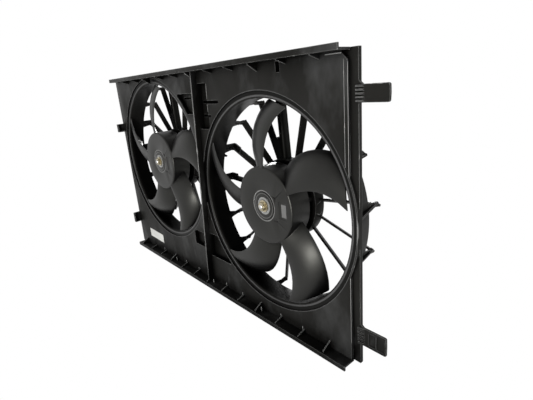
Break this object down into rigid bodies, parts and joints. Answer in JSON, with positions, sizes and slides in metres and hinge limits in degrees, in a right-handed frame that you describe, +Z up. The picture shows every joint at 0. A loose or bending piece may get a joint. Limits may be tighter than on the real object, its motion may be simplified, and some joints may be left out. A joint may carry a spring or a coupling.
{
  "type": "radiator cooling fan module",
  "caption": "Twin electric cooling fan module for a car radiator: a moulded shroud panel with round ducts, stator vanes, swept fans and brushed motors in their hubs.",
  "frame": {"origin": "on the underside of the bottom flange, halfway between the two axles, in the plane of the panel's front face", "axes": "+X along the panel to the right as seen from the radiator, +Y from the radiator towards the engine along both fan axles, +Z up"},
  "size_m": [0.775, 0.106, 0.4405],
  "materials": {
    "shroud_plastic": "fine satin moulding grain",
    "label_paper": "matt film, bare",
    "fan_plastic": "satin with soft highlights",
    "zinc_plate": "yellowish zinc plating",
    "shaft_steel": "ground",
    "lamination_steel": "stamped laminations",
    "copper_wire": "enamelled copper wire",
    "copper_bars": "turned copper",
    "bronze": "oiled sintered bronze",
    "can_steel": "black coated drawn steel",
    "ferrite": "ground ferrite",
    "card_resin": "phenolic board",
    "carbon": "pressed carbon",
    "cap_plastic": "satin moulded"
  },
  "bodies": {
    "housing": {"shroud": "shroud_plastic", "blank_label": "label_paper", "left_front_bushing": "bronze", "right_front_bushing": "bronze", "left_rear_bushing": "bronze", "right_rear_bushing": "bronze", "left_motor_can": "can_steel", "right_motor_can": "can_steel", "left_magnets": "ferrite", "right_magnets": "ferrite", "left_brush_card": "card_resin", "right_brush_card": "card_resin", "left_brushes": "carbon", "right_brushes": "carbon", "left_motor_end_cap": "cap_plastic", "right_motor_end_cap": "cap_plastic", "left_motor_screws": "zinc_plate", "right_motor_screws": "zinc_plate"},
    "left_rotor": {"left_fan": "fan_plastic", "left_hub_washer": "zinc_plate", "left_hub_nut": "zinc_plate", "left_motor_shaft": "shaft_steel", "left_armature_core": "lamination_steel", "left_armature_winding": "copper_wire", "left_commutator": "copper_bars"},
    "right_rotor": {"right_fan": "fan_plastic", "right_hub_washer": "zinc_plate", "right_hub_nut": "zinc_plate", "right_motor_shaft": "shaft_steel", "right_armature_core": "lamination_steel", "right_armature_winding": "copper_wire", "right_commutator": "copper_bars"}
  },
  "joints": [
    {"name": "left_fan_spin", "type": "hinge", "parent": "housing", "child": "left_rotor", "pos_m": [-0.18151, 0, 0.2455], "axis": [0, 1, 0], "continuous": true},
    {"name": "right_fan_spin", "type": "hinge", "parent": "housing", "child": "right_rotor", "pos_m": [0.18151, 0, 0.2075], "axis": [0, 1, 0], "continuous": true}
  ]
}
